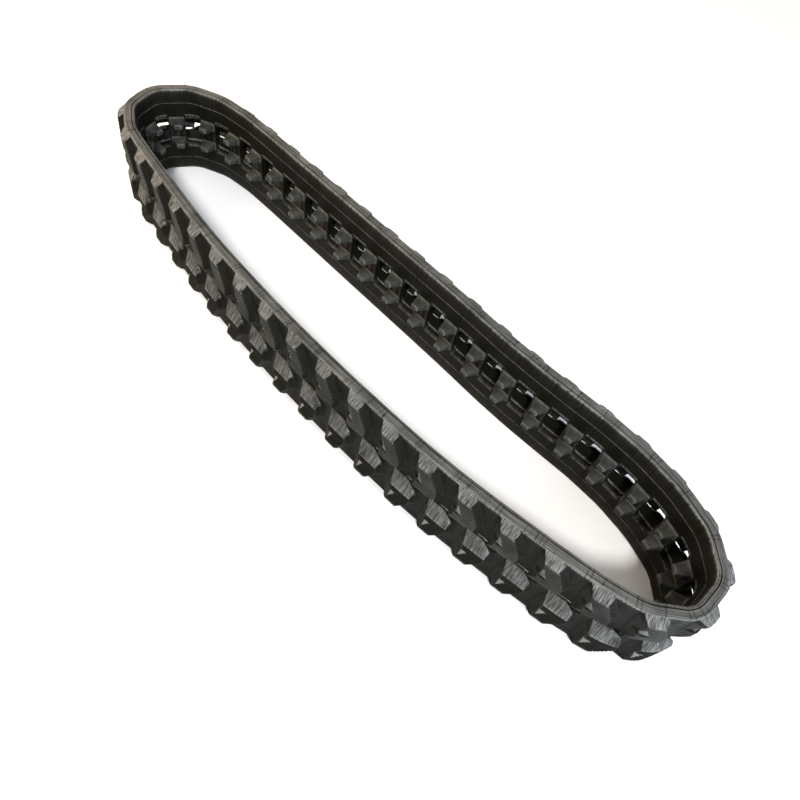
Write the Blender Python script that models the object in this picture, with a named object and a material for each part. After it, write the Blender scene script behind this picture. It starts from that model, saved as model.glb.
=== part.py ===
"""Rubber track for a small excavator: an endless steel-core belt lying on its side edge.

The belt is drawn straight first, in belt coordinates (s along the belt, o outward from the
cord line, z across the belt), and is then bent onto the loop. Each link has a straight zone,
where the steel core sits, and a flexible web, where the loop turns. All lengths are metres.
"""
import math

import bmesh
import bpy
import numpy as np
from mathutils import Matrix, Vector

MM = 0.001

# ---- the belt as a product: 180 mm wide, 72 mm pitch, 41 links ----
WIDTH = 180 * MM
PITCH = 72 * MM
LINKS = 41
INNER_FACE = -10 * MM          # roller side of the rubber, measured from the cord line
OUTER_FACE = 10 * MM           # valley floor on the ground side
TREAD_FACE = 23 * MM           # top of the tread blocks

# ---- the loop: links per zone and clockwise turn of each web in degrees ----
TURN_ZONES = (
    (2, 0.7), (2, -2.3), (1, -0.7), (1, 4.7), (1, 7.9), (1, 11.4), (1, 26.0), (1, 46.0),
    (1, 47.0), (1, 25.0), (1, 5.7), (2, 1.0), (2, 2.6), (6, 1.1), (2, 2.1), (2, 0.3),
    (1, 2.7), (1, 18.0), (1, 38.0), (1, 48.0), (1, 37.0), (1, 20.0), (1, 7.0), (1, 1.2),
    (6, 0.0),
)
RIGID_ZONE = 0.44              # share of the pitch that stays straight at each core
WEB_STEP = math.radians(16.0)  # largest bend of one facet in a web

# ---- sections: the endless moulding is parted so that it can flex ----
SECTION_LINKS = (5, 4, 5, 4, 5, 4, 5, 4, 5)
CUT_PHASE = 0.56               # where in the pitch a section ends
CUT_GAP = 0.15 * MM            # half the gap on the hinge line
CUT_SLOPE = math.tan(math.radians(1.7))

# ---- steel core ----
CORE_SPAN = 136 * MM
CORE_WIDTH = 24 * MM
CORE_O = (-8.4 * MM, -3.4 * MM)
SADDLE_SPAN = 59 * MM
SADDLE_WIDTH = 29 * MM
SADDLE_O = -10.6 * MM
HORN_ROWS = 22 * MM            # each row of guide horns from the middle of the belt
HORN_ROOT = (28 * MM, 15.4 * MM)
HORN_TIP = (15.5 * MM, 9.5 * MM)
HORN_TOP = -34 * MM
CLEARANCE = 0.3 * MM

# ---- sprocket window: a funnel, wide on the roller side ----
WINDOW_INNER = (38 * MM, 64 * MM)
WINDOW_OUTER = (41 * MM, 27 * MM)

# ---- cord ply: two cord bands joined by rungs between the windows ----
PLY_HALF = 0.8 * MM
PLY_MARGIN = 14 * MM
PLY_WINDOW = (48 * MM, 57 * MM)

# ---- tread block, upper row: (pitch phase, z) corners at the valley floor and at the face ----
BLOCK_BASE = ((0.06, 177), (0.53, 177), (0.46, 90), (0.07, 88), (-0.22, 110), (-0.26, 134))
BLOCK_FACE = ((0.08, 166), (0.38, 166), (0.35, 115), (-0.18, 115), (-0.19, 128), (-0.14, 140))
ROW_SHIFT = 0.5                # the lower row is the mirror image, half a pitch on


def clear_scene():
    """Remove everything that is in the file."""
    for obj in list(bpy.data.objects):
        bpy.data.objects.remove(obj, do_unlink=True)
    for col in list(bpy.data.collections):
        bpy.data.collections.remove(col)


def make_collection(name):
    """A new collection linked to the scene."""
    col = bpy.data.collections.new(name)
    bpy.context.scene.collection.children.link(col)
    return col


def new_object(name, bm, col):
    """Turn a bmesh into a named object in a collection."""
    bmesh.ops.recalc_face_normals(bm, faces=bm.faces)
    mesh = bpy.data.meshes.new(name)
    bm.to_mesh(mesh)
    bm.free()
    obj = bpy.data.objects.new(name, mesh)
    col.objects.link(obj)
    return obj


def add_box(bm, low, high):
    """A box between two corners."""
    low, high = Vector(low), Vector(high)
    size = high - low
    mat = Matrix.Translation((low + high) / 2) @ Matrix.Diagonal((*size, 1.0))
    bmesh.ops.create_cube(bm, size=1.0, matrix=mat)


def add_hull(bm, points):
    """The convex hull of a list of points."""
    verts = [bm.verts.new(p) for p in points]
    out = bmesh.ops.convex_hull(bm, input=verts)
    spare = [v for v in out["geom_interior"] if isinstance(v, bmesh.types.BMVert)]
    bmesh.ops.delete(bm, geom=spare, context="VERTS")
    flatten(bm)


def flatten(bm):
    """Drop the edges that a boolean leaves across flat faces."""
    bmesh.ops.dissolve_limit(bm, angle_limit=0.0002, verts=bm.verts, edges=bm.edges)


def rect(s, o, z, length, height):
    """Four corners of a rectangle facing outward, centred on (s, z) at offset o."""
    return [(s + a * length / 2, o, z + b * height / 2) for a in (-1, 1) for b in (-1, 1)]


def boolean(obj, cutter, operation):
    """Apply one exact boolean to obj; the cutter stays in its collection."""
    mod = obj.modifiers.new("bool", "BOOLEAN")
    mod.operation = operation
    mod.solver = "EXACT"
    mod.object = cutter
    deps = bpy.context.evaluated_depsgraph_get()
    mesh = bpy.data.meshes.new_from_object(obj.evaluated_get(deps))
    obj.modifiers.clear()
    old = obj.data
    obj.data = mesh
    bpy.data.meshes.remove(old)


# ---------------------------------------------------------------- the loop

def web_turns():
    """Turn of each web in radians, corrected so that the loop closes."""
    turns = np.array([-math.radians(deg) for count, deg in TURN_ZONES for _ in range(count)])
    for _ in range(8):
        miss = closure(turns)
        jac = np.zeros((3, LINKS))
        for k in range(LINKS):
            step = turns.copy()
            step[k] += 1e-6
            jac[:, k] = (closure(step) - miss) / 1e-6
        turns -= np.linalg.pinv(jac) @ miss
    return turns


def closure(turns):
    """Miss distance in x and y, and miss angle, after one trip round the loop."""
    pos, head = 0j, 0.0
    for turn in turns:
        pos += advance(head, turn)
        head += turn
    return np.array([pos.real, pos.imag, (head + 2 * math.pi) * PITCH])


def advance(head, turn):
    """Step from one core to the next as a complex number."""
    rigid = RIGID_ZONE * PITCH / 2
    web = PITCH - 2 * rigid
    chord = web * np.sinc(turn / 2 / math.pi)
    return (rigid * np.exp(1j * head) + chord * np.exp(1j * (head + turn / 2))
            + rigid * np.exp(1j * (head + turn)))


class Loop:
    """Stations of the cores and the map from belt coordinates to the loop."""

    def __init__(self):
        self.turns = web_turns()
        pos, head = [0j], [0.0]
        for turn in self.turns:
            pos.append(pos[-1] + advance(head[-1], turn))
            head.append(head[-1] + turn)
        self.pos, self.head = np.array(pos[:-1]), np.array(head[:-1])
        self.align()

    def align(self):
        """Lay the long axis along X and centre the loop on the origin."""
        flat = self.pos - self.pos.mean()
        axis = 0.5 * np.angle((flat ** 2).sum())
        self.pos = flat * np.exp(-1j * axis)
        self.head = self.head - axis
        mids = [self.place((k + f / 8) * PITCH, TREAD_FACE)
                for k in range(LINKS) for f in range(8)]
        xs, ys = [p.real for p in mids], [p.imag for p in mids]
        self.pos -= complex((min(xs) + max(xs)) / 2, (min(ys) + max(ys)) / 2)

    def frame(self, s):
        """Point on the cord line and heading at distance s."""
        k = math.floor(s / PITCH)
        u = s - k * PITCH
        turn, head, pos = self.turns[k % LINKS], self.head[k % LINKS], self.pos[k % LINKS]
        rigid = RIGID_ZONE * PITCH / 2
        web = PITCH - 2 * rigid
        first = min(u, rigid)
        arc = min(max(u - rigid, 0.0), web)
        last = max(u - rigid - web, 0.0)
        bend = turn * arc / web
        chord = arc * np.sinc(bend / 2 / math.pi)
        pos = pos + first * np.exp(1j * head) + chord * np.exp(1j * (head + bend / 2))
        pos += last * np.exp(1j * (head + bend))
        return pos, head + bend

    def place(self, s, o):
        """Belt coordinates to a point of the plan view."""
        pos, head = self.frame(s)
        return pos + o * 1j * np.exp(1j * head)

    def bend(self, bm):
        """Bend a straight body onto the loop."""
        for v in bm.verts:
            p = self.place(v.co.x, v.co.y)
            v.co.x, v.co.y = p.real, p.imag

    def cuts(self, start, end):
        """Distances at which a straight body needs edges so that it can bend."""
        out = []
        for k in range(math.floor(start / PITCH), math.ceil(end / PITCH)):
            steps = max(1, math.ceil(abs(self.turns[k % LINKS]) / WEB_STEP))
            low, high = (k + RIGID_ZONE / 2), (k + 1 - RIGID_ZONE / 2)
            out += [(low + (high - low) * i / steps) * PITCH for i in range(steps + 1)]
        return [s for s in out if start < s < end]


def bend_object(obj, loop, start, end):
    """Add the bending edges to a straight object, bend it and triangulate it."""
    bm = bmesh.new()
    bm.from_mesh(obj.data)
    flatten(bm)
    for s in loop.cuts(start, end):
        geom = bm.verts[:] + bm.edges[:] + bm.faces[:]
        bmesh.ops.bisect_plane(bm, geom=geom, dist=1e-7, plane_co=(s, 0, 0),
                               plane_no=(1, 0, 0))
    bmesh.ops.triangulate(bm, faces=bm.faces[:])
    loop.bend(bm)
    bm.to_mesh(obj.data)
    bm.free()


# ---------------------------------------------------------------- steel core

def core_boxes(grow):
    """Corners of a core's bar and of its saddle, grown on every side."""
    half = WIDTH / 2
    wing = ((-CORE_WIDTH / 2 - grow, CORE_O[0] - grow, half - CORE_SPAN / 2 - grow),
            (CORE_WIDTH / 2 + grow, CORE_O[1] + grow, half + CORE_SPAN / 2 + grow))
    saddle = ((-SADDLE_WIDTH / 2 - grow, SADDLE_O - grow, half - SADDLE_SPAN / 2 - grow),
              (SADDLE_WIDTH / 2 + grow, CORE_O[1] + grow, half + SADDLE_SPAN / 2 + grow))
    return wing, saddle


def core_mesh(col):
    """One forged core: a bar with wings, a saddle and two guide horns."""
    wing, saddle = core_boxes(0.0)
    bm = bmesh.new()
    add_box(bm, *wing)
    body = new_object("core_body", bm, col)
    bm = bmesh.new()
    add_box(bm, *saddle)
    boolean(body, new_object("core_saddle", bm, col), "UNION")
    for side in (-1, 1):
        z = WIDTH / 2 + side * HORN_ROWS
        bm = bmesh.new()
        add_hull(bm, rect(0, SADDLE_O + 1 * MM, z, *HORN_ROOT) + rect(0, HORN_TOP, z, *HORN_TIP))
        boolean(body, new_object("core_horn", bm, col), "UNION")
    bm = bmesh.new()
    bm.from_mesh(body.data)
    flatten(bm)
    bmesh.ops.triangulate(bm, faces=bm.faces[:])
    mesh = bpy.data.meshes.new("core")
    bm.to_mesh(mesh)
    bm.free()
    return mesh


def station_matrix(loop, s):
    """Placement of a rigid body drawn at s = 0."""
    pos, head = loop.frame(s)
    return Matrix.Translation((pos.real, pos.imag, 0)) @ Matrix.Rotation(head, 4, "Z")


def build_cores(loop, part, cutters):
    """All cores, each baked at its own station."""
    master = core_mesh(cutters)
    cores = []
    for k in range(LINKS):
        mesh = master.copy()
        mesh.transform(station_matrix(loop, k * PITCH))
        obj = bpy.data.objects.new("core_%02d" % (k + 1), mesh)
        part.objects.link(obj)
        cores.append(obj)
    return cores


# ---------------------------------------------------------------- rubber and cord sections

def section_ends():
    """Start and end distance of each section, and its first link."""
    out, first = [], 0
    for count in SECTION_LINKS:
        out.append(((first - 1 + CUT_PHASE) * PITCH, (first + count - 1 + CUT_PHASE) * PITCH,
                    first, count))
        first += count
    return out


def block_hull(bm, s, mirrored):
    """One tread block: the hull of its foot and its face."""
    points = []
    for outline, o in ((BLOCK_BASE, OUTER_FACE - 2 * MM), (BLOCK_FACE, TREAD_FACE)):
        for phase, z in outline:
            z = z * MM
            points.append((s + phase * PITCH, o, WIDTH - z if mirrored else z))
    add_hull(bm, points)


def window_cutter(links, col):
    """Funnels for the sprocket windows of the given webs."""
    bm = bmesh.new()
    for k in links:
        s = (k + 0.5) * PITCH
        slope = 1 * MM / (OUTER_FACE - INNER_FACE)
        grow = [(a - b) * slope for a, b in zip(WINDOW_INNER, WINDOW_OUTER)]
        inner = [a + g for a, g in zip(WINDOW_INNER, grow)]
        outer = [b - g for b, g in zip(WINDOW_OUTER, grow)]
        add_hull(bm, rect(s, INNER_FACE - 1 * MM, WIDTH / 2, *inner)
                 + rect(s, OUTER_FACE + 1 * MM, WIDTH / 2, *outer))
    return new_object("windows", bm, col)


def pocket_cutter(links, col):
    """Pockets for the cores, open on the roller side."""
    wing, saddle = core_boxes(CLEARANCE)
    bm = bmesh.new()
    for k in links:
        add_box(bm, *[(x + k * PITCH, y, z) for x, y, z in wing])
    wings = new_object("wings", bm, col)
    bm = bmesh.new()
    for k in links:
        low, high = [(x + k * PITCH, y, z) for x, y, z in saddle]
        add_box(bm, (low[0], INNER_FACE - 3 * MM, low[2]), high)
    boolean(wings, new_object("saddles", bm, col), "UNION")
    return wings


def end_cutter(start, end, col):
    """Two sloped prisms that leave a hinge gap at both ends of a section."""
    bm = bmesh.new()
    reach = 40 * MM
    for s, side in ((start, 1), (end, -1)):
        tip = s + side * CUT_GAP
        far = tip + side * reach * CUT_SLOPE
        back = s - side * 200 * MM
        outline = [(tip, 0), (far, reach), (back, reach), (back, -reach), (far, -reach)]
        verts = [bm.verts.new((x, y, -20 * MM)) for x, y in outline]
        face = bmesh.ops.contextual_create(bm, geom=verts)["faces"]
        top = bmesh.ops.extrude_face_region(bm, geom=face)["geom"]
        bmesh.ops.translate(bm, vec=(0, 0, WIDTH + 40 * MM),
                            verts=[v for v in top if isinstance(v, bmesh.types.BMVert)])
    return new_object("ends", bm, col)


def ply_solid(name, start, end, links, grow, col, cutters):
    """A cord ply between two cuts, with holes for the windows."""
    bm = bmesh.new()
    add_box(bm, (start, -PLY_HALF - grow, PLY_MARGIN - grow),
            (end, PLY_HALF + grow, WIDTH - PLY_MARGIN + grow))
    ply = new_object(name, bm, col)
    bm = bmesh.new()
    for k in links:
        s = (k + 0.5) * PITCH
        length, height = PLY_WINDOW[0] - 2 * grow, PLY_WINDOW[1] - 2 * grow
        add_box(bm, (s - length / 2, -5 * MM, (WIDTH - height) / 2),
                (s + length / 2, 5 * MM, (WIDTH + height) / 2))
    boolean(ply, new_object("ply_windows", bm, cutters), "DIFFERENCE")
    return ply


def slab(start, end, name, col):
    """The flat belt before anything is cut from it."""
    bm = bmesh.new()
    add_box(bm, (start - PITCH / 4, INNER_FACE, 0), (end + PITCH / 4, OUTER_FACE, WIDTH))
    return new_object(name, bm, col)


def build_section(number, span, loop, part, cutters):
    """One rubber section and its cord ply."""
    start, end, first, count = span
    links = range(first, first + count)
    webs = range(first - 1, first + count)
    rubber = slab(start, end, "rubber_section_%d" % number, part)
    boolean(rubber, window_cutter(webs, cutters), "DIFFERENCE")
    for mirrored, shift in ((False, 0.0), (True, ROW_SHIFT)):
        bm = bmesh.new()
        for k in range(first - 1, first + count + 1):
            block_hull(bm, (k + shift) * PITCH, mirrored)
        boolean(rubber, new_object("blocks", bm, cutters), "UNION")
    boolean(rubber, pocket_cutter(links, cutters), "DIFFERENCE")
    slot = ply_solid("slot", start - PITCH, end + PITCH, webs, CLEARANCE, cutters, cutters)
    boolean(rubber, slot, "DIFFERENCE")
    ends = end_cutter(start, end, cutters)
    boolean(rubber, ends, "DIFFERENCE")
    ply = ply_solid("cord_ply_%d" % number, start - PITCH / 2, end + PITCH / 2, webs, 0.0,
                    part, cutters)
    boolean(ply, ends, "DIFFERENCE")
    bend_object(rubber, loop, start, end)
    bend_object(ply, loop, start, end)
    return rubber, ply


# ---------------------------------------------------------------- materials and build

def make_material(obj, color, roughness, metallic):
    """A Principled material of its own for one object."""
    mat = bpy.data.materials.new(obj.name + "_material")
    mat.use_nodes = True
    node = mat.node_tree.nodes["Principled BSDF"]
    node.inputs["Base Color"].default_value = (*color, 1.0)
    node.inputs["Roughness"].default_value = roughness
    node.inputs["Metallic"].default_value = metallic
    obj.data.materials.clear()
    obj.data.materials.append(mat)


def main():
    """Build the whole track."""
    clear_scene()
    part = make_collection("rubber_track")
    cutters = make_collection("cutters")
    loop = Loop()
    for obj in build_cores(loop, part, cutters):
        make_material(obj, (0.16, 0.15, 0.13), 0.5, 0.6)
    for number, span in enumerate(section_ends(), start=1):
        rubber, ply = build_section(number, span, loop, part, cutters)
        make_material(rubber, (0.02, 0.02, 0.019), 0.7, 0.0)
        make_material(ply, (0.35, 0.33, 0.28), 0.4, 1.0)
    for obj in cutters.objects:
        obj.hide_render = True
        obj.display_type = "WIRE"


main()
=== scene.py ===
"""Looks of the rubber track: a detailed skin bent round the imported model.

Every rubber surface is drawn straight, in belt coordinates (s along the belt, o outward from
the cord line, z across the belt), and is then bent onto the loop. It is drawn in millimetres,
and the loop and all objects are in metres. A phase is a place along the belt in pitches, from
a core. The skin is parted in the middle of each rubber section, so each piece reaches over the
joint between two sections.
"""
import math

import bmesh
import bpy
import numpy as np
from mathutils import Matrix, Vector


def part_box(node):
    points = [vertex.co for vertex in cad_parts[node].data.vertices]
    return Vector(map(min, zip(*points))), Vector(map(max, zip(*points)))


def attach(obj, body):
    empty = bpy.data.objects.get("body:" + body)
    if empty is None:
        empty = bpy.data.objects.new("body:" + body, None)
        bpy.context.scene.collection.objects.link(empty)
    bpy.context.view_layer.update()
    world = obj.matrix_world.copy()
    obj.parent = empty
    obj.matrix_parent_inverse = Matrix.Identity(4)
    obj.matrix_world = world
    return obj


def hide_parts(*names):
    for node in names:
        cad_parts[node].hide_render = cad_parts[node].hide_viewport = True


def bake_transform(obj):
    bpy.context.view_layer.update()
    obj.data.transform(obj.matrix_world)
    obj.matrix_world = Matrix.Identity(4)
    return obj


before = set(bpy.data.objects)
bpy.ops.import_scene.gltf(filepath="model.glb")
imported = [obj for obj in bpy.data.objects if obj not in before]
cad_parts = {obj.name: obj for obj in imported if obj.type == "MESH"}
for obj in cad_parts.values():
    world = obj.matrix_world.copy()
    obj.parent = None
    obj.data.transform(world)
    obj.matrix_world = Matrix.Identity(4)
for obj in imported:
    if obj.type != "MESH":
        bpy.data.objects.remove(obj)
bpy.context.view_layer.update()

MM = 0.001
PITCH_MM, WIDTH_MM = 72.0, 180.0
PITCH, WIDTH = PITCH_MM * MM, WIDTH_MM * MM
MIDDLE = WIDTH_MM / 2          # height of the belt's middle line as it lies, in millimetres
LINKS = 41
# distances outward from the cord line, in millimetres
ROLLER_SIDE, GROUND_SIDE = -10.0, 10.0
BLOCK_FACE = 23.0
BLOCK_HEIGHT = BLOCK_FACE - GROUND_SIDE
CORE_REACH = (-34.0, -3.4)     # tips of the horns and back of the plate, on the CAD core
# the webs round the loop: (number of webs, clockwise turn of each in degrees)
TURN_ZONES = (
    (2, 0.7), (2, -2.3), (1, -0.7), (1, 4.7), (1, 7.9), (1, 11.4), (1, 26.0), (1, 46.0),
    (1, 47.0), (1, 25.0), (1, 5.7), (2, 1.0), (2, 2.6), (6, 1.1), (2, 2.1), (2, 0.3),
    (1, 2.7), (1, 18.0), (1, 38.0), (1, 48.0), (1, 37.0), (1, 20.0), (1, 7.0), (1, 1.2),
    (6, 0.0),
)
RIGID_ZONE = 0.44              # share of each pitch that the core holds straight
CLOSING_ROUNDS = 8             # corrections of the turns, until the loop closes
NUDGE = 1e-6                   # small turn, in radians, that shows what each web does
SECTION_LINKS = (5, 4, 5, 4, 5, 4, 5, 4, 5)
CUT_PHASE = 0.56               # where one section ends and the next begins
SEAM_PHASE = 0.12              # where one tile of the skin meets the next
CLOSURE_GAP = 0.2 * MM         # kept free on each side where the loop is parted


# ---------------------------------------------------------------- the loop, as in the CAD

def web_turns():
    """Turn of each web in radians, corrected so that the loop closes."""
    turns = np.array([-math.radians(deg) for count, deg in TURN_ZONES for _ in range(count)])
    for _ in range(CLOSING_ROUNDS):
        miss = closure(turns)
        slopes = np.zeros((3, LINKS))
        for k in range(LINKS):
            nudged = turns.copy()
            nudged[k] += NUDGE
            slopes[:, k] = (closure(nudged) - miss) / NUDGE
        turns -= np.linalg.pinv(slopes) @ miss
    return turns


def closure(turns):
    """What one trip round the loop misses by: in x, in y, and in angle times the pitch."""
    pos, head = 0j, 0.0
    for turn in turns:
        pos += advance(head, turn)
        head += turn
    return np.array([pos.real, pos.imag, (head + 2 * math.pi) * PITCH])


def advance(head, turn):
    """Step from one core to the next as a complex number."""
    rigid = RIGID_ZONE * PITCH / 2
    web = PITCH - 2 * rigid
    chord = web * np.sinc(turn / 2 / math.pi)
    return (rigid * np.exp(1j * head) + chord * np.exp(1j * (head + turn / 2))
            + rigid * np.exp(1j * (head + turn)))


class Loop:
    """Stations of the cores and the map from belt coordinates to the loop."""

    def __init__(self):
        self.turns = web_turns()
        pos, head = [0j], [0.0]
        for turn in self.turns:
            pos.append(pos[-1] + advance(head[-1], turn))
            head.append(head[-1] + turn)
        self.pos, self.head = np.array(pos[:-1]), np.array(head[:-1])
        flat = self.pos - self.pos.mean()
        axis = 0.5 * np.angle((flat ** 2).sum())
        self.pos = flat * np.exp(-1j * axis)
        self.head = self.head - axis
        self.settle()

    def settle(self):
        """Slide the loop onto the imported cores."""
        found = []
        for k in range(LINKS):
            low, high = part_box("core_%02d" % (k + 1))
            found.append(complex((low.x + high.x) / 2, (low.y + high.y) / 2))
        middle = sum(CORE_REACH) / 2 * MM
        self.pos += np.mean(found) - np.mean([self.place(k * PITCH, middle)
                                              for k in range(LINKS)])

    def place(self, s, o):
        """Belt coordinates to points of the plan view, for numbers or arrays."""
        s, o = np.asarray(s, float), np.asarray(o, float)
        k = np.floor(s / PITCH).astype(int)
        u = s - k * PITCH
        turn, head, pos = self.turns[k % LINKS], self.head[k % LINKS], self.pos[k % LINKS]
        rigid = RIGID_ZONE * PITCH / 2
        web = PITCH - 2 * rigid
        first = np.minimum(u, rigid)
        arc = np.clip(u - rigid, 0.0, web)
        last = np.maximum(u - rigid - web, 0.0)
        bend = turn * arc / web
        chord = arc * np.sinc(bend / 2 / math.pi)
        pos = pos + first * np.exp(1j * head) + chord * np.exp(1j * (head + bend / 2))
        head = head + bend
        return pos + last * np.exp(1j * head) + o * 1j * np.exp(1j * head)

    def point(self, s, o, z):
        """One point of the belt as a vector."""
        p = self.place(s, o)
        return Vector((float(p.real), float(p.imag), z))


loop = Loop()


def section_spans():
    """Each section's start and end in pitches along the belt, first core and core count."""
    out, first = [], 0
    for count in SECTION_LINKS:
        out.append((first - 1 + CUT_PHASE, first + count - 1 + CUT_PHASE, first, count))
        first += count
    return out


# ---------------------------------------------------------------- surface patches

PLAIN = -1.0                   # paint in the place of dust: no flow streaks here
MERGE_STEP = 2e-4              # points that round to the same multiple of this are one point


class Skin:
    """Straight-drawn patches of one piece: points in millimetres, faces and paint.

    Paint is (tone, dust): how light the surface is, from wear and from painted highlights where
    light falls on edges, ribs, facets and slopes, and how much brown dust or rust lies on it. In
    the place of dust it may also be PLAIN.
    """

    def __init__(self):
        self.points, self.paint, self.faces, self.count = [], [], [], 0

    def grid(self, points, paint, flip=False, wrap=False):
        """Add a patch of rows by columns; wrap joins the last column to the first."""
        points = np.asarray(points, float)
        rows, cols = points.shape[:2]
        index = self.count + np.arange(rows * cols).reshape(rows, cols)
        if wrap:
            index = np.concatenate([index, index[:, :1]], axis=1)
        quads = np.stack([index[:-1, :-1], index[:-1, 1:], index[1:, 1:], index[1:, :-1]], -1)
        quads = quads.reshape(-1, 4)
        self.faces.append(quads[:, ::-1] if flip else quads)
        self.points.append(points.reshape(-1, 3))
        self.paint.append(np.broadcast_to(paint, (rows, cols, 2)).reshape(-1, 2))
        self.count += rows * cols

    def arrays(self):
        """Points, paint and faces with coincident points merged."""
        points = np.concatenate(self.points)
        paint, faces = np.concatenate(self.paint), np.concatenate(self.faces)
        keys = np.round(points / MERGE_STEP).astype(np.int64)
        _, first, inverse = np.unique(keys, axis=0, return_index=True, return_inverse=True)
        return points[first], paint[first], inverse.reshape(-1)[faces]


# ---------------------------------------------------------------- belt skin

COLUMNS = np.linspace(SEAM_PHASE, 1 - SEAM_PHASE, 17)            # phases of the window tile
CORE_COLUMNS = np.linspace(1 - SEAM_PHASE, 1 + SEAM_PHASE, 6)    # phases of the strip at a core
ROW_LOW, ROW_HIGH = 50.0, 130.0      # the middle patch with the window, between these heights
PATCH_ROWS = 9
SQUARE_CORNER = 1e-6                 # a corner radius that is as good as none
ROLLER_TONE, GROUND_TONE = .03, .015
SADDLE_DUST, DUST_REACH = .6, 16.0   # dust between the horns, and how far it fades out

# top edge of the belt, roller side to ground side: (o, z, tone, dust); its tones are wear with
# painted highlights on the rounded corners and on the small ridge at z 151.5 to 152.1, and dark in the
# grooves
EDGE_PROFILE = (
    (-10, 130, .01, 0), (-10, 138, .01, 0), (-10, 146, .01, 0), (-10, 151.0, .02, .1),
    (-10.45, 151.5, .55, .1), (-10.45, 152.1, .55, .1), (-10, 152.7, .03, .1),
    (-10, 160, .02, .1), (-10, 168, .03, .1), (-10, 174.5, .07, .1), (-9.9, 176.6, .2, .1),
    (-9.2, 178.3, .7, .1), (-8.2, 179.4, .9, .1), (-7.2, 180, .5, .1), (-5.9, 180, .5, .1),
    (-4.7, 180, .35, .1), (-4.4, 178.6, .0, 0), (-3.2, 178.6, .0, 0), (-2.9, 180, .7, .1),
    (0, 180, .5, .1), (3, 180, .55, .1), (4.9, 180, .5, .1), (5.2, 179.4, .0, 0),
    (5.6, 180, .8, .1), (7.5, 180, .7, .1), (8.9, 179.7, .8, .1), (9.7, 178.9, .9, 0),
    (10, 177.8, .3, 0), (10, 174, .03, 0), (10, 166, .015, 0), (10, 156, .015, 0),
    (10, 143, .015, 0), (10, 130, .015, 0),
)
# rings of the sprocket window: (half length, half height, corner radius, o, tone); the bright
# tones on the lip and on the ridge at o -2.2 are painted highlights
WINDOW_RINGS = (
    (21.0, 34.0, 10.5, -10.0, .03), (20.0, 33.0, 10.0, -10.0, .1), (19.3, 32.3, 9.4, -9.7, .3),
    (19.0, 31.5, 9.0, -9.0, .1), (18.9, 29.0, 8.0, -6.0, .0), (18.8, 27.0, 7.0, -3.4, .0),
    (18.8, 25.9, 6.3, -2.5, .5), (18.8, 25.2, 6.0, -2.2, 1.0), (18.9, 24.4, 5.4, -2.0, .4),
    (19.2, 22.0, 4.6, -1.0, .0), (19.8, 14.0, 3.4, 4.0, .0), (20.2, 8.4, 2.6, 8.6, .0),
    (20.6, 8.7, 2.8, 10.0, .0),
)
PAD_PHASES = (0.235, 0.765)          # ends of the raised pads beside each window
PAD_Z = (52.6, 57.4)                 # sides of the lower pad; the upper one mirrors it
PAD_HEIGHT, PAD_TONE = 1.3, .3
VALLEYS = ((0.635, 96, 176.5), (0.135, 3.5, 84))     # between blocks: (phase, z from, z to)
SAG_DEPTH, SAG_REACH = 1.7, 0.17     # millimetres deep, and pitches to each side
SAG_RAMPS = (10, 6)                  # millimetres over which it deepens, at its z from and z to


def sag(phase, z):
    """How far the valleys between the blocks are scooped, in millimetres."""
    def dish(centre, z_low, z_high):
        off = (phase - centre + 0.5) % 1.0 - 0.5
        along = np.clip(1 - (off / SAG_REACH) ** 2, 0, 1)
        across = np.clip((z - z_low) / SAG_RAMPS[0], 0, 1) * np.clip((z_high - z) / SAG_RAMPS[1], 0, 1)
        return SAG_DEPTH * along * across
    return sum(dish(*valley) for valley in VALLEYS)


def on_ground_side(o):
    """Whether points lie on the belt's ground side, where the valleys are."""
    return o > GROUND_SIDE - .01


def slab_points(phases, profile):
    """Grid of a cross-section profile swept along the given phases."""
    profile = np.array(profile, float)
    phases = np.asarray(phases, float)
    o = np.repeat(profile[:, :1], len(phases), 1)
    z = np.repeat(profile[:, 1:2], len(phases), 1)
    s = np.repeat(phases[None, :] * PITCH_MM, len(profile), 0)
    o = np.where(on_ground_side(o), o - sag(s / PITCH_MM, z), o)
    paint = np.repeat(profile[:, None, 2:4], len(phases), 1)
    return np.stack([s, o, z], -1), paint


def window_ring(half_length, half_height, radius, o, order):
    """Rounded rectangle with its points in step with the patch's rim."""
    x, y = order[:, 0] * half_length, order[:, 1] * half_height
    cx, cy = half_length - radius, half_height - radius
    dx, dy = np.maximum(np.abs(x) - cx, 0), np.maximum(np.abs(y) - cy, 0)
    corner = (dx > 0) & (dy > 0)
    norm = np.where(corner, np.hypot(dx, dy), 1)
    x = np.where(corner, np.sign(x) * (cx + radius * dx / norm), x)
    y = np.where(corner, np.sign(y) * (cy + radius * dy / norm), y)
    return np.stack([PITCH_MM / 2 + x, np.full_like(x, o), MIDDLE + y], -1)


def rim_order():
    """Points round the patch's rim as (-1..1, -1..1), bottom side first."""
    p, q = np.linspace(-1, 1, len(COLUMNS)), np.linspace(-1, 1, PATCH_ROWS)
    out = [(a, -1) for a in p[:-1]] + [(1, b) for b in q[:-1]]
    out += [(a, 1) for a in p[:0:-1]] + [(-1, b) for b in q[:0:-1]]
    return np.array(out, float)


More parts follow.
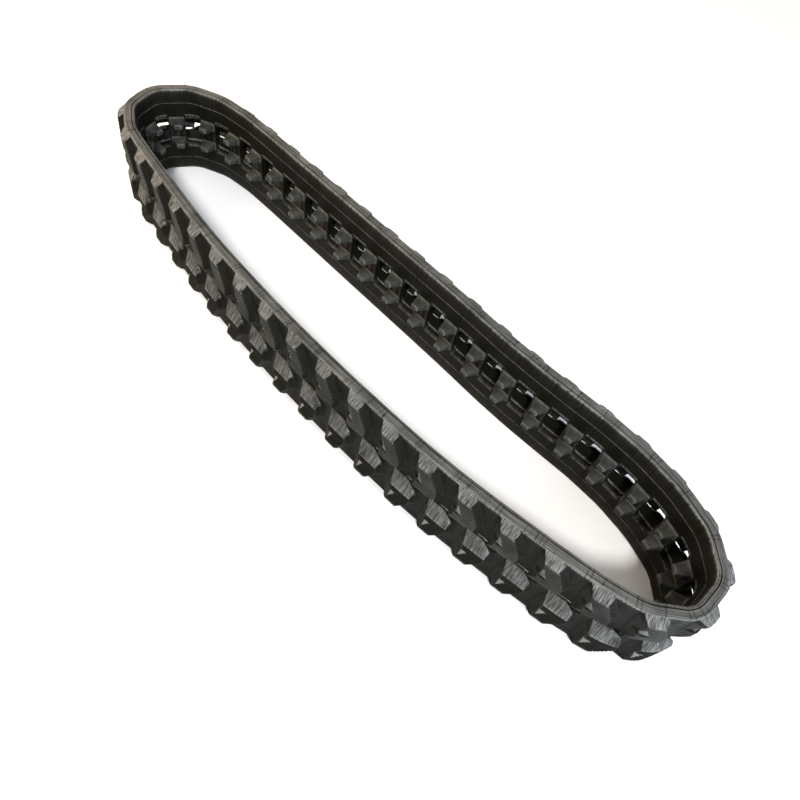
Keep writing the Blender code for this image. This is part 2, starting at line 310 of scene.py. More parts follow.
def belt_tile(skin, link):
    """One pitch of the flat belt with its sprocket window, starting after core `link`."""
    start = np.array([link * PITCH_MM, 0, 0])
    mirror = [(o, WIDTH_MM - z, tone, dust) for o, z, tone, dust in EDGE_PROFILE[::-1]]
    for profile in (EDGE_PROFILE, mirror):
        for phases in (COLUMNS, CORE_COLUMNS):
            points, paint = slab_points(phases, profile)
            skin.grid(points + start, paint)
    order = rim_order()
    half = (1 - 2 * SEAM_PHASE) * PITCH_MM / 2
    rim = (half, (ROW_HIGH - ROW_LOW) / 2, SQUARE_CORNER)
    rings = [(*rim, ROLLER_SIDE, ROLLER_TONE), *WINDOW_RINGS, (*rim, GROUND_SIDE, GROUND_TONE)]
    points = np.array([window_ring(*ring[:4], order) for ring in rings])
    scoop = sag(points[..., 0] / PITCH_MM, points[..., 2])
    points[..., 1] -= np.where(on_ground_side(points[..., 1]), scoop, 0)
    tones = np.array([ring[4] for ring in rings])
    paint = np.zeros(points.shape[:2] + (2,))
    # the rings' tones show on the window's long sides, and only a tenth of them at its ends
    long_side = np.clip((np.abs(order[:, 1]) - 0.8) / 0.2, 0, 1)
    paint[..., 0] = tones[:, None] * (0.1 + 0.9 * long_side)
    skin.grid(points + start, paint, wrap=True)
    rows = np.linspace(ROW_LOW, ROW_HIGH, PATCH_ROWS)
    inner = [(ROLLER_SIDE, z, ROLLER_TONE, SADDLE_DUST * max(0, 1 - abs(z - MIDDLE) / DUST_REACH))
             for z in rows]
    outer = [(GROUND_SIDE, z, GROUND_TONE, 0) for z in rows[::-1]]
    for profile in (inner, outer):
        points, paint = slab_points(CORE_COLUMNS, profile)
        skin.grid(points + start, paint)


def window_pads(skin, link):
    """The raised pads beside each sprocket window on the roller side."""
    first, last = (phase * PITCH_MM for phase in PAD_PHASES)
    radius, centre = (PAD_Z[1] - PAD_Z[0]) / 2, sum(PAD_Z) / 2
    s = np.linspace(first, last, 15)
    end = np.clip(np.minimum(s - s[0], s[-1] - s) / radius, 0, 1)
    half = radius * np.sqrt(1 - (1 - end) ** 2)
    points = []
    for a in (-1, -.85, -.5, 0, .5, .85, 1):
        lift = PAD_HEIGHT * (1 - a ** 4) * np.clip(end * 2, 0, 1)
        points.append(np.stack([s + link * PITCH_MM, ROLLER_SIDE + .1 - lift, centre + a * half], -1))
    points = np.array(points)
    skin.grid(points, (PAD_TONE, 0.0))
    skin.grid(points * (1, 1, -1) + (0, 0, WIDTH_MM), (PAD_TONE, 0.0), flip=True)


# ---------------------------------------------------------------- tread blocks

RIBS = 10
RIB_CREST = 1.7                # width of each rib's crest
RIB_DEPTH = 1.9
RIB_Z = (115.0, 163.8)         # the ribbed part of the face
FACE_Z = (115.0, 169.0)
FOOT_Z = (90.0, 178.0)
# the block's edges as (z, phase): its face and its foot, each at the back and at the front
FACE_BACK = ((115, -.175), (121, -.185), (129, -.19), (140, -.14), (152, -.04), (169, .095))
FACE_FRONT = ((115, .35), (129, .34), (153, .34), (165, .375), (169, .40))
FOOT_BACK = ((88, .07), (110, -.22), (134, -.26), (177, .06))
FOOT_FRONT = ((92, .46), (177, .53))
NOTCH_TOP, NOTCH_LOW = (153.0, .34), (130.5, .155)   # (z, phase) ends of the notch's inner line
NOTCH_SLOPE = 0.55             # how fast the notch falls away from that line
NOTCH_STEP = .25               # half the width of the step at the notch's lower end
FACET_HIGHLIGHT = .85               # painted highlight on the back wall of the foot
FACET_GAP = 6                  # that wall ends this far below the face
SHOULDER_BULGE = .55           # power below 1 that makes the shoulder's front wall bulge
WALL_STEPS = (.2, .5, .84)     # where the rows have points, as shares of each stretch
FACE_STEPS = (.17, .34, .5, .67, .84, 1.0)
NOTCH_STEPS = (.33, .67, 1.0)


def track(table, z):
    """Distance along the belt, in millimetres, of an edge given as (z, phase) pairs."""
    zs, phases = zip(*table)
    return np.interp(z, zs, phases) * PITCH_MM


def block_rows():
    """Rows of one block from its lower foot to its shoulder: (z, height, rib share, tone)."""
    low, high = FACE_Z
    foot, top = FOOT_Z
    # the foot's slope gets a painted highlight in its tone, with some wear
    out = [(foot - 3.5, GROUND_SIDE - 2.4, 0, .0), (foot - 1.6, GROUND_SIDE - .2, 0, .1),
           (foot, GROUND_SIDE + .7, 0, .45)]
    out += [(foot + (low - foot) * t, GROUND_SIDE + BLOCK_HEIGHT * t, 0, .42)
            for t in (.12, .35, .6, .85)]
    out.append((low - 0.9, BLOCK_FACE - .7, 0, .7))
    step = (RIB_Z[1] - RIB_Z[0] - RIB_CREST) / (RIBS - 1)
    for i in range(RIBS):
        z = RIB_Z[0] + i * step
        if i:
            groove = (z - step + RIB_CREST + .3, z - .4)
            out += [(place, BLOCK_FACE, 1, .0) for place in groove]
        end = z + RIB_CREST
        # each rib's upper crest edge gets a painted highlight; crests and grooves stay dark
        out += [(z, BLOCK_FACE, 0, .0), (end - .6, BLOCK_FACE, 0, .0), (end, BLOCK_FACE - .2, 0, .32)]
    out += [(RIB_Z[1] + 1.6, BLOCK_FACE, 0, .4), (high - 1.2, BLOCK_FACE, 0, .5)]
    # the shoulder's edge and slope: wear and painted highlights
    shoulder = BLOCK_FACE - .5
    out.append((high, shoulder, 0, .85))
    out += [(high + (top - high) * t, shoulder + (GROUND_SIDE - shoulder) * t, 0, .66)
            for t in (.15, .35, .6, .85)]
    out += [(top, GROUND_SIDE, 0, .7), (top + .9, GROUND_SIDE - 1.1, 0, .6)]
    return out


def add_notch_rows(rows):
    """Two close rows at the foot of the notch, so that it ends in a step."""
    nearest, _, rib, tone = min(rows, key=lambda row: abs(row[0] - NOTCH_LOW[0]))
    out = [row for row in rows if row[0] != nearest]
    out += [(NOTCH_LOW[0] + side * NOTCH_STEP, BLOCK_FACE, rib, tone) for side in (-1, 1)]
    return sorted(out)


def edges_at(z):
    """Edges of the block at height z: foot back, face back, face front and foot front."""
    low, high = FACE_Z
    foot_back, foot_front = track(FOOT_BACK, z), track(FOOT_FRONT, z)
    on_face = np.clip(z, low, high)
    back, front = track(FACE_BACK, on_face), track(FACE_FRONT, on_face)
    if z > high:
        t = min((z - high) / (FOOT_Z[1] - high), 1.0)
    else:
        t = min(max((low - z) / (low - FOOT_Z[0]), 0.0), 1.0)
    return foot_back, back + (foot_back - back) * t, front + (foot_front - front) * t, foot_front


def notch_line(z, front):
    """Inner line of the notch at height z."""
    if z > NOTCH_TOP[0]:
        return front - 1.0
    t = np.clip((z - NOTCH_LOW[0]) / (NOTCH_TOP[0] - NOTCH_LOW[0]), 0, 1)
    return (NOTCH_LOW[1] + (NOTCH_TOP[1] - NOTCH_LOW[1]) * t) * PITCH_MM - t


def fillet(edge, side, g, height, tone):
    """Rounded foot of a wall, from below the belt's surface up: (s, o, tone) of each point."""
    return [(edge + side * (4.0 * g + .4), min(GROUND_SIDE - 2.0, height), .01),
            (edge + side * (2.4 * g + .2), min(GROUND_SIDE - .1, height), .01),
            (edge + side * .9 * g, min(GROUND_SIDE + .7 * g, height), tone)]


def wall(foot, top, height, tone, steep=1.0):
    """Points up a wall from its foot to its top edge: (s, o, tone) of each."""
    rise = max(height - GROUND_SIDE, 0.0)
    base = min(height, GROUND_SIDE)
    return [(foot + (top - foot) * f, base + rise * f ** steep, tone) for f in WALL_STEPS]


def block_row(z, height, rib, tone):
    """One row across the block, from its back to its front: (s, o, tone) of each point."""
    low, high = FACE_Z
    foot_back, back, front, foot_front = edges_at(z)
    g = min(max((height - GROUND_SIDE) / BLOCK_HEIGHT, 0.0), 1.0)
    notched = NOTCH_LOW[0] < z < NOTCH_TOP[0]
    line = notch_line(z, front)
    face = height - RIB_DEPTH * rib
    front_height = height - NOTCH_SLOPE * (front - line) if notched else face
    # the back wall of the foot gets a painted highlight
    facet = FACET_HIGHLIGHT if FOOT_Z[0] <= z < low - FACET_GAP else .02
    row = fillet(foot_back, -1, g, height, .02 + .4 * facet)
    row += wall(foot_back, back, height, facet)
    row += [(back + .1 * g, face - .5 * g, .1 + .5 * tone), (back + g, face, tone)]
    inner = line if low <= z <= high else back + (front - back) * .7
    row += [(back + g + (inner - back - g) * f, face, tone) for f in FACE_STEPS]
    end = front - g
    inner = min(inner, end)
    # the notch's slope gets a painted highlight
    for f in NOTCH_STEPS:
        o = height - NOTCH_SLOPE * (end - inner) * f if notched else face
        row.append((inner + (end - inner) * f, o, 1.0 - .3 * f if notched else tone))
    row.append((front - .1 * g, front_height - .5 * g, .1 + .5 * tone))
    steep = SHOULDER_BULGE if z > high - 2 else 1.0
    row += wall(foot_front, front, front_height if notched else height, .03, steep)[::-1]
    row += fillet(foot_front, 1, g, height, .02)[::-1]
    return row


def block_patch():
    """Points and paint of the upper block, drawn about phase 0."""
    points, paint = [], []
    for z, height, rib, tone in add_notch_rows(block_rows()):
        row = block_row(z, height, rib, tone)
        dust = PLAIN if RIB_Z[0] <= z <= RIB_Z[1] else 0.0
        points.append([(s, o, z) for s, o, _ in row])
        paint.append([(shade, dust) for _, _, shade in row])
    return np.array(points), np.array(paint)


BLOCK_POINTS, BLOCK_PAINT = block_patch()


def tread_blocks(skin, link):
    """The upper block at core `link` and the lower one half a pitch on."""
    start = np.array([link * PITCH_MM, 0, 0])
    skin.grid(BLOCK_POINTS + start, BLOCK_PAINT, flip=True)
    lower = BLOCK_POINTS * (1, 1, -1) + (PITCH_MM / 2, 0, WIDTH_MM)
    skin.grid(lower + start, BLOCK_PAINT)


# thin tags of mould flash on the upper edge: (pitches along the belt, outward lean, length)
FLASH_TAGS = ((1.3, .5, 3.0), (7.42, .9, 4.5), (8.31, .7, 3.5), (9.2, .9, 5.0), (9.63, .2, 3.0),
              (12.7, .3, 2.5), (19.4, .6, 3.0), (28.3, .8, 3.5), (31.35, .9, 4.5), (33.6, .5, 4.0),
              (35.2, .7, 5.0), (38.4, .6, 3.0))
FLASH_ROOT = (9.3, 178.4)      # (o, z) where they grow out of the edge
FLASH_ROOT_RADIUS, FLASH_TIP_RADIUS = 1.1, .12
FLASH_TONE = .35
FLASH_CLEAR = (.3, .1)         # pitches that stay free after a piece's start and before its end


def flash_tags(skin, start, end):
    """Small curled points of flash along the outer corner, between two places in pitches."""
    angles = np.linspace(0, 5.03, 5)
    for place, lean, length in FLASH_TAGS:
        if not start < place < end:
            continue
        rings = []
        for t in (0, .35, .7, 1):
            radius = FLASH_ROOT_RADIUS * (1 - t) + FLASH_TIP_RADIUS
            o = FLASH_ROOT[0] + lean * length * t
            z = FLASH_ROOT[1] + (1 - lean) * length * t + .8 * t * t
            rings.append([(place * PITCH_MM + 1.6 * radius * math.cos(a),
                           o + radius * math.sin(a) * .5, z) for a in angles])
        skin.grid(rings, (FLASH_TONE, 0.0), wrap=True)


# ---------------------------------------------------------------- pieces

SHARP_RUBBER, SHARP_CORE = 34, 50    # edges bent by more than this many degrees stay sharp


def add_object(name, data):
    """A new object in the scene, made of a mesh, a light or a camera."""
    obj = bpy.data.objects.new(name, data)
    bpy.context.scene.collection.objects.link(obj)
    return obj


def skin_mesh(skin):
    """A straight bmesh of the skin in metres, with its paint as layers."""
    points, paint, faces = skin.arrays()
    bm = bmesh.new()
    tone = bm.verts.layers.float.new("tone")
    dust = bm.verts.layers.float.new("dust")
    verts = []
    for point, shade in zip(points * MM, paint):
        vert = bm.verts.new(point)
        vert[tone], vert[dust] = shade
        verts.append(vert)
    for face in faces:
        corners = list(dict.fromkeys(int(i) for i in face))
        if len(corners) > 2:
            try:
                bm.faces.new([verts[i] for i in corners])
            except ValueError:    # this face is there already
                continue
    return bm


def finish_mesh(name, bm):
    """Bend a straight bmesh onto the loop, keep its belt coordinates and make it an object."""
    mesh = bpy.data.meshes.new(name)
    bm.to_mesh(mesh)
    bm.free()
    count = len(mesh.vertices)
    straight = np.zeros(count * 3, np.float32)
    mesh.vertices.foreach_get("co", straight)
    straight = straight.reshape(-1, 3)
    belt = mesh.attributes.new("belt", "FLOAT_VECTOR", "POINT")
    belt.data.foreach_set("vector", straight.ravel())
    plan = loop.place(straight[:, 0].astype(float), straight[:, 1].astype(float))
    bent = np.stack([plan.real, plan.imag, straight[:, 2]], -1).astype(np.float32)
    mesh.vertices.foreach_set("co", bent.ravel())
    mesh.update()
    mesh.shade_smooth()
    mesh.set_sharp_from_angle(angle=math.radians(SHARP_RUBBER))
    return add_object(name, mesh)


def trim(bm, s, keep_after):
    """Cut the straight skin square at distance s; the next piece goes on from there."""
    geom = bm.verts[:] + bm.edges[:] + bm.faces[:]
    side = -1 if keep_after else 1
    bmesh.ops.bisect_plane(bm, geom=geom, dist=1e-7, plane_co=(s, 0, 0),
                           plane_no=(side, 0, 0), clear_outer=True)


def build_skin(rubber):
    """One piece per joint, from the middle of a section to the middle of the next.

    The first piece starts and the last one ends where the loop is parted.
    """
    spans = section_spans()
    middles = [first + count // 2 for _, _, first, count in spans]
    for i in range(len(spans) - 1):
        low = middles[i] if i else -1
        high = middles[i + 1] if i < len(spans) - 2 else LINKS
        skin = Skin()
        for link in range(low, high):
            belt_tile(skin, link)
            window_pads(skin, link)
        for link in range(low - 1, high + 2):
            tread_blocks(skin, link)
        flash_tags(skin, low + FLASH_CLEAR[0], high - FLASH_CLEAR[1])
        name = "belt_span_%d" % (i + 1)
        bm = skin_mesh(skin)
        start = (low + SEAM_PHASE) * PITCH if i else spans[0][0] * PITCH + CLOSURE_GAP
        end = (high + SEAM_PHASE) * PITCH
        if i == len(spans) - 2:
            end = spans[-1][1] * PITCH - CLOSURE_GAP
        trim(bm, start, True)
        trim(bm, end, False)
        obj = finish_mesh(name, bm)
        obj.data.materials.append(rubber)
        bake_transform(obj)
        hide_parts("rubber_section_%d" % (i + 1))
        if i == len(spans) - 2:
            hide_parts("rubber_section_%d" % (i + 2))


# ---------------------------------------------------------------- steel cores

HORN_OFFSET = 22.0             # of each horn from the belt's middle line
# rings of a horn and of the plate: (half length, half height, corner radius, o, tone); the
# lighter tones on the bevels and on the tip's edge are wear and painted highlights
HORN_ROOT = ((17.0, 10.6, 3.0, -9.0, 0), (16.0, 9.6, 3.0, -10.5, .1),
             (14.9, 8.6, 2.4, -11.2, .35), (14.0, 7.8, 1.9, -12.6, .3))
HORN_TAPER = ((14.0, 7.7, 1.7, -12.0, .16), (7.75, 4.75, 1.7, -32.6, .22))
HORN_TIP = ((7.75, 4.75, 1.7, -32.8, .35), (7.45, 4.45, 1.5, -33.6, .9),
            (6.8, 3.8, 1.2, -34.0, .5), (2.0, .5, .3, -34.0, .3))
PLATE = ((14.9, 29.9, 2.5, -4.0, 0), (14.9, 29.9, 2.5, -9.8, 0), (14.3, 29.3, 2.2, -10.5, .25),
         (13.4, 28.4, 1.8, -10.7, .05), (5, 15, .5, -10.7, 0), (.5, 2, .1, -10.7, 0))
RUST_SPREAD = 11               # how far the saddle's rust fades out from the middle line
CORNER_STEPS = 4


def rounded_ring(half_length, half_height, radius, o, z):
    """Rounded rectangle at distance o from the cord line, as points in millimetres."""
    out = []
    for sx, sz, turn in ((1, -1, -90), (1, 1, 0), (-1, 1, 90), (-1, -1, 180)):
        for i in range(CORNER_STEPS + 1):
            a = math.radians(turn + 90 * i / CORNER_STEPS)
            out.append((sx * (half_length - radius) + radius * math.cos(a), o,
                        z + sz * (half_height - radius) + radius * math.sin(a)))
    return out


def ring_patch(rings, z):
    """Points and paint of a stack of rounded rings about height z, without rust."""
    points = np.array([rounded_ring(*ring[:4], z) for ring in rings])
    paint = np.zeros(points.shape[:2] + (2,))
    paint[..., 0] = np.array([ring[4] for ring in rings])[:, None]
    return points, paint


def core_mesh():
    """One core: plate with its saddle, and two guide horns with rounded edges."""
    skin = Skin()
    root, top = np.array(HORN_TAPER)
    taper = [root + (top - root) * t for t in (.1, .3, .5, .7, .9)]
    for side in (-1, 1):
        points, paint = ring_patch([*HORN_ROOT, *taper, *HORN_TIP], MIDDLE + side * HORN_OFFSET)
        skin.grid(points, paint, wrap=True)
    points, paint = ring_patch(PLATE, MIDDLE)
    paint[..., 1] = np.clip(1.1 - np.abs(points[..., 2] - MIDDLE) / RUST_SPREAD, 0, 1)
    skin.grid(points, paint, wrap=True)
    points, paint, faces = skin.arrays()
    mesh = bpy.data.meshes.new("core")
    mesh.from_pydata((points * MM).tolist(), [], [list(dict.fromkeys(f)) for f in faces.tolist()])
    belt = mesh.attributes.new("belt", "FLOAT_VECTOR", "POINT")
    belt.data.foreach_set("vector", (points * MM).astype(np.float32).ravel())
    for name, column in (("tone", 0), ("dust", 1)):
        layer = mesh.attributes.new(name, "FLOAT", "POINT")
        layer.data.foreach_set("value", paint[:, column].astype(np.float32))
    mesh.validate()
    mesh.shade_smooth()
    mesh.set_sharp_from_angle(angle=math.radians(SHARP_CORE))
    return mesh


def build_cores(material):
    """A detailed core over each CAD core."""
    mesh = core_mesh()
    mesh.materials.append(material)
    for number, (_, _, first, count) in enumerate(section_spans(), start=1):
        for k in range(first, first + count):
            obj = add_object("core_detail_%02d" % (k + 1), mesh)
            pos, head = loop.pos[k], loop.head[k]
            obj.matrix_world = (Matrix.Translation((pos.real, pos.imag, 0))
                                @ Matrix.Rotation(head, 4, "Z"))
            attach(obj, "section_%d" % number)
            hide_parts("core_%02d" % (k + 1))


# ---------------------------------------------------------------- materials

# black rubber; the grey of worn rubber, which also paints highlights on lit edges, ribs and slopes
RUBBER_BLACK, RUBBER_WEAR_AND_HIGHLIGHT = (0.0058, 0.0054, 0.0030, 1), (0.27, 0.265, 0.245, 1)
DUST_BROWN = (0.05, 0.032, 0.018, 1)
# dark coating; the grey of its scuffs, which also paints highlights on the horns' edges
COATING_DARK, COATING_WEAR_AND_HIGHLIGHT = (0.007, 0.007, 0.0058, 1), (0.15, 0.15, 0.13, 1)
RUST_BROWN = (0.12, 0.055, 0.022, 1)
CORD_DARK, CORD_BRIGHT = (0.20, 0.15, 0.08, 1), (0.45, 0.38, 0.24, 1)
FLOOR_WHITE = (0.86, 0.86, 0.86, 1)
# how often the noises change along s, o and z: rubber's flow, grain of the edges, small nicks
FLOW_STRETCH, EDGE_STRETCH, NICK_STRETCH = (560, 70, 34), (14, 1500, 300), (230, 25, 4)
LAY_STRETCH = (0.3, 0.3, 3.0)        # lay of the cord's wires, in x, y and z
EDGE_BAND = (1.5 * MM, 0.3 * MM)     # the edges' grain fades in between these, from their top
MOULD_LINES = (0.60, 0.69)           # phases of the cross lines that the mould leaves
MOULD_LINE_WIDTH = (0.008, 0.02)     # pitches from a line's middle: full, and faded out


class Nodes:
    """Short calls for building a node material."""

    def __init__(self, name):
        self.mat = bpy.data.materials.new(name)
        self.mat.use_nodes = True
        self.tree = self.mat.node_tree
        self.shader = self.tree.nodes["Principled BSDF"]

    def link(self, value, socket):
        """Set a socket to a number or join it to another socket."""
        if isinstance(value, bpy.types.NodeSocket):
            self.tree.links.new(value, socket)
        else:
            socket.default_value = value

    def add(self, kind, inputs=None, **settings):
        """A node with its settings and inputs; returns the node."""
        node = self.tree.nodes.new(kind)
        for key, value in settings.items():
            setattr(node, key, value)
        for key, value in (inputs or {}).items():
            self.link(value, node.inputs[key])
        return node

    def attribute(self, name, output="Fac"):
        """A mesh attribute."""
        return self.add("ShaderNodeAttribute", attribute_name=name).outputs[output]

    def noise(self, vector, scale, detail, stretch=(1, 1, 1)):
        """Noise over a stretched vector, 0 to 1."""
        mapped = self.add("ShaderNodeMapping", {"Vector": vector, "Scale": stretch})
        node = self.add("ShaderNodeTexNoise", {"Vector": mapped.outputs[0], "Scale": scale,
                                               "Detail": detail, "Roughness": 0.55})
        return node.outputs["Fac"]

    def math(self, operation, a, b=0.0, clamp=False):
        """One arithmetic step."""
        node = self.add("ShaderNodeMath", {0: a, 1: b}, operation=operation, use_clamp=clamp)
        return node.outputs[0]

    def span(self, value, low, high, out_low=0.0, out_high=1.0):
        """Map a range onto another, clamped."""
        node = self.add("ShaderNodeMapRange", {"Value": value, "From Min": low, "From Max": high,
                                               "To Min": out_low, "To Max": out_high})
        return node.outputs[0]

    def mix(self, share, a, b):
        """Blend two colours."""
        node = self.add("ShaderNodeMix", data_type="RGBA")
        for value, socket in ((share, node.inputs[0]), (a, node.inputs[6]), (b, node.inputs[7])):
            self.link(value, socket)
        return node.outputs[2]

    def bump(self, height, strength, distance, normal=None):
        """A bump node chained onto another."""
        inputs = {"Height": height, "Strength": strength, "Distance": distance}
        if normal is not None:
            inputs["Normal"] = normal
        return self.add("ShaderNodeBump", inputs).outputs[0]


def edge_share(n, height):
    """1 on the belt's upper and lower edge, fading out just below them."""
    from_middle = n.math("ABSOLUTE", n.math("SUBTRACT", height, WIDTH / 2))
    return n.span(from_middle, WIDTH / 2 - EDGE_BAND[0], WIDTH / 2 - EDGE_BAND[1])


def mark_edges(n, wear_and_highlight, belt, along, on_edge):
    """Darken the edges' wear and painted highlights at small nicks and at the mould's cross lines."""
    nick = n.noise(belt, 1, 2, stretch=NICK_STRETCH)
    nick = n.math("MULTIPLY", on_edge, n.span(nick, 0.62, 0.66))
    wear_and_highlight = n.math("MULTIPLY", wear_and_highlight, n.span(nick, 0, 1, 1, 0.4))
    phase = n.math("FRACT", n.math("DIVIDE", along, PITCH))
    for line in MOULD_LINES:
        distance = n.math("ABSOLUTE", n.math("SUBTRACT", phase, line))
        near = n.math("MULTIPLY", n.span(distance, *MOULD_LINE_WIDTH, 1, 0), on_edge)
        wear_and_highlight = n.math("MULTIPLY", wear_and_highlight, n.span(near, 0, 1, 1, 0.5))
    return wear_and_highlight


def rubber_material():
    """Moulded rubber: near black, greyed where it is worn and where highlights are painted on lit
    edges, ribs and slopes, with dust and flow streaks.
    """
    n = Nodes("track_rubber")
    belt = n.attribute("belt", "Vector")
    tone, dust = n.attribute("tone"), n.attribute("dust")
    cloud = n.noise(belt, 18, 5)
    fine = n.noise(belt, 260, 4)
    streak = n.noise(belt, 1, 5, stretch=FLOW_STRETCH)
    edge_grain = n.noise(belt, 1, 3, stretch=EDGE_STRETCH)
    place = n.add("ShaderNodeSeparateXYZ", {"Vector": belt}).outputs
    on_edge = edge_share(n, place[2])
    grain = n.mix(on_edge, streak, edge_grain)
    plain = n.span(dust, PLAIN, -0.2, 1.0, 0.0)
    share = n.math("MAXIMUM", n.span(grain, 0.38, 0.64, 0.2, 1.3), plain)
    # the tone brings in wear and painted highlights
    wear_and_highlight = n.math("MULTIPLY", tone, share)
    wear_and_highlight = n.math("MULTIPLY", wear_and_highlight, n.span(cloud, 0.3, 0.7, 0.5, 1.2), clamp=True)
    wear_and_highlight = mark_edges(n, wear_and_highlight, belt, place[0], on_edge)
    colour = n.mix(wear_and_highlight, RUBBER_BLACK, RUBBER_WEAR_AND_HIGHLIGHT)
    dusty = n.math("MULTIPLY", dust, n.span(cloud, 0.4, 0.7))
    n.link(n.mix(dusty, colour, DUST_BROWN), n.shader.inputs["Base Color"])
    n.link(n.span(n.math("ADD", fine, cloud), 0.6, 1.4, 0.42, 0.7), n.shader.inputs["Roughness"])
    relief = n.math("MULTIPLY", grain, n.span(tone, 0.0, 0.6, 0.05, 1.0))
    relief = n.math("MULTIPLY", relief, n.math("SUBTRACT", 1.0, plain))
    bumped = n.bump(relief, 0.6, 1.0 * MM)
    n.link(n.bump(fine, 0.2, 0.3 * MM, bumped), n.shader.inputs["Normal"])
    n.shader.inputs["Specular IOR Level"].default_value = 0.06
    return n.mat


def core_material():
    """Guide horns: scuffed dark coating with painted highlights on the edges, rust on the bare saddle.
    """
    n = Nodes("core_coating")
    belt = n.attribute("belt", "Vector")
    tone, dust = n.attribute("tone"), n.attribute("dust")
    cloud = n.noise(belt, 45, 5)
    fine = n.noise(belt, 400, 4)
    wear_and_highlight = n.math("MULTIPLY", tone, n.span(cloud, 0.35, 0.65, 0.2, 1.5), clamp=True)
    colour = n.mix(wear_and_highlight, COATING_DARK, COATING_WEAR_AND_HIGHLIGHT)
    rust = n.math("MULTIPLY", dust, n.span(fine, 0.3, 0.6), clamp=True)
    n.link(n.mix(rust, colour, RUST_BROWN), n.shader.inputs["Base Color"])
    n.link(n.span(fine, 0.3, 0.7, 0.34, 0.6), n.shader.inputs["Roughness"])
    n.link(n.bump(fine, 0.3, 0.3 * MM), n.shader.inputs["Normal"])
    n.shader.inputs["Specular IOR Level"].default_value = 0.12
    return n.mat


def cord_material():
    """Brass-plated steel cord, inside the rubber."""
    n = Nodes("steel_cord")
    spot = n.add("ShaderNodeTexCoord").outputs["Object"]
    lay = n.noise(spot, 900, 3, stretch=LAY_STRETCH)
    n.link(n.mix(lay, CORD_DARK, CORD_BRIGHT), n.shader.inputs["Base Color"])
    n.link(n.span(lay, 0.3, 0.7, 0.3, 0.5), n.shader.inputs["Roughness"])
    n.link(n.bump(lay, 0.5, 0.5 * MM), n.shader.inputs["Normal"])
    n.shader.inputs["Metallic"].default_value = 1.0
    return n.mat


def floor_material():
    """Matt white paint."""
    n = Nodes("floor_paint")
    n.shader.inputs["Base Color"].default_value = FLOOR_WHITE
    n.shader.inputs["Roughness"].default_value = 0.9
    return n.mat


# ---------------------------------------------------------------- stage

STUDIO_RADIUS, STUDIO_HEIGHT, STUDIO_CURVE = 9.0, 4.0, 2.5    # floor that curves up to a wall
FLOOR_FLAT = 3.0               # radius of the floor's first ring
FLOOR_DROP = 0.5 * MM          # the floor lies this far below the track
WORLD_LIGHT = 0.14
# direction it shines from, spread in degrees, power, colour
KEY_SUN = ((0.42, -0.55, 0.95), 9, 3.0, (1.0, 0.985, 0.96))
# area lights: name, place, target, size, power, colour
LIGHTS = (
    ("overhead", (0.0, 0.2, 3.2), (0, 0, 0), (3.4, 2.4), 26, (1.0, 1.0, 1.0)),
    ("cool_side", (2.0, -0.4, 0.8), (0.2, 0, 0.1), (1.0, 0.7), 38, (0.66, 0.81, 1.0)),
    ("warm_side", (-1.6, -0.6, 0.9), (-0.6, 0, 0.1), (0.9, 0.6), 24, (1.0, 0.8, 0.58)),
)
CAMERA_PLACE, CAMERA_TURN = (0.4903, -0.5596, 0.9221), (34.302, -10.019, 45.917)
CAMERA_LENS, CAMERA_SENSOR = 27.84, 36
CAMERA_SHIFT = (-0.01405, 0.01639)


def add_light(name, place, target, size, power, colour):
    """A soft area light aimed at a point."""
    data = bpy.data.lights.new(name, "AREA")
    data.shape, data.size, data.size_y = "RECTANGLE", size[0], size[1]
    data.energy, data.color = power, colour
    obj = add_object(name, data)
    obj.location = place
    obj.rotation_euler = (Vector(target) - Vector(place)).to_track_quat("-Z", "Y").to_euler()


def add_sun(name, direction, spread, power, colour):
    """A far light that shines from a direction, soft by its spread in degrees."""
    data = bpy.data.lights.new(name, "SUN")
    data.energy, data.color, data.angle = power, colour, math.radians(spread)
    add_object(name, data).rotation_euler = Vector(direction).to_track_quat("Z", "Y").to_euler()


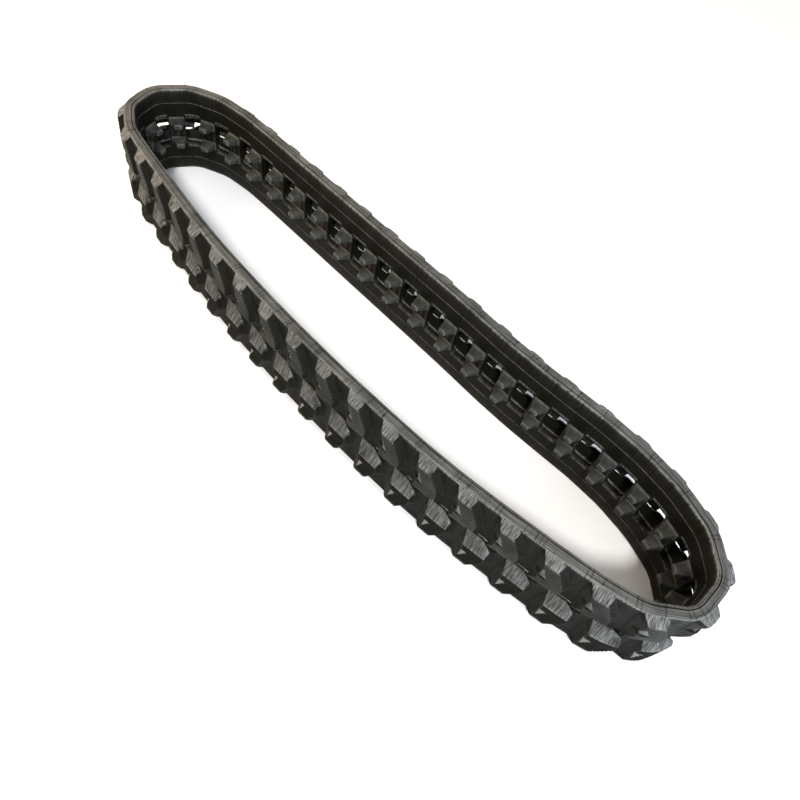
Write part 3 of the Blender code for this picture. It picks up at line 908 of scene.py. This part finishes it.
def add_floor():
    """Pale floor that curves up to a round wall."""
    angles = np.linspace(0, math.pi / 2, 9)
    profile = [(0.0, 0.0), (FLOOR_FLAT, 0.0)]
    profile += [(STUDIO_RADIUS + STUDIO_CURVE * (math.sin(a) - 1), STUDIO_CURVE * (1 - math.cos(a)))
                for a in angles]
    profile.append((STUDIO_RADIUS, STUDIO_HEIGHT))
    bm = bmesh.new()
    verts = [bm.verts.new((r, 0, z)) for r, z in profile]
    edges = [bm.edges.new(pair) for pair in zip(verts[:-1], verts[1:])]
    bmesh.ops.spin(bm, geom=verts + edges, cent=(0, 0, 0), axis=(0, 0, 1), angle=2 * math.pi,
                   steps=64, use_merge=True)
    bmesh.ops.remove_doubles(bm, verts=bm.verts, dist=1e-5)
    mesh = bpy.data.meshes.new("floor")
    bm.to_mesh(mesh)
    bm.free()
    mesh.shade_smooth()
    floor = add_object("floor", mesh)
    floor.location.z = -FLOOR_DROP
    mesh.materials.append(floor_material())


def add_camera():
    """The camera of the main view."""
    data = bpy.data.cameras.new("camera")
    data.lens, data.sensor_width = CAMERA_LENS, CAMERA_SENSOR
    data.shift_x, data.shift_y = CAMERA_SHIFT
    data.clip_start, data.clip_end = 0.02, 50
    camera = add_object("camera", data)
    camera.location = CAMERA_PLACE
    camera.rotation_euler = [math.radians(a) for a in CAMERA_TURN]
    bpy.context.scene.camera = camera


def build_stage():
    """Floor, soft light and camera."""
    add_floor()
    world = bpy.data.worlds.new("studio")
    world.use_nodes = True
    background = world.node_tree.nodes["Background"]
    background.inputs["Color"].default_value = (1, 1, 1, 1)
    background.inputs["Strength"].default_value = WORLD_LIGHT
    bpy.context.scene.world = world
    add_sun("key", *KEY_SUN)
    for light in LIGHTS:
        add_light(*light)
    add_camera()
    bpy.context.scene.view_settings.view_transform = "Standard"


def main():
    """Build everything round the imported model."""
    build_skin(rubber_material())
    build_cores(core_material())
    cord = cord_material()
    for i in range(len(SECTION_LINKS)):
        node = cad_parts["cord_ply_%d" % (i + 1)]
        node.data.materials.clear()
        node.data.materials.append(cord)
    build_stage()


main()
bpy.context.view_layer.update()
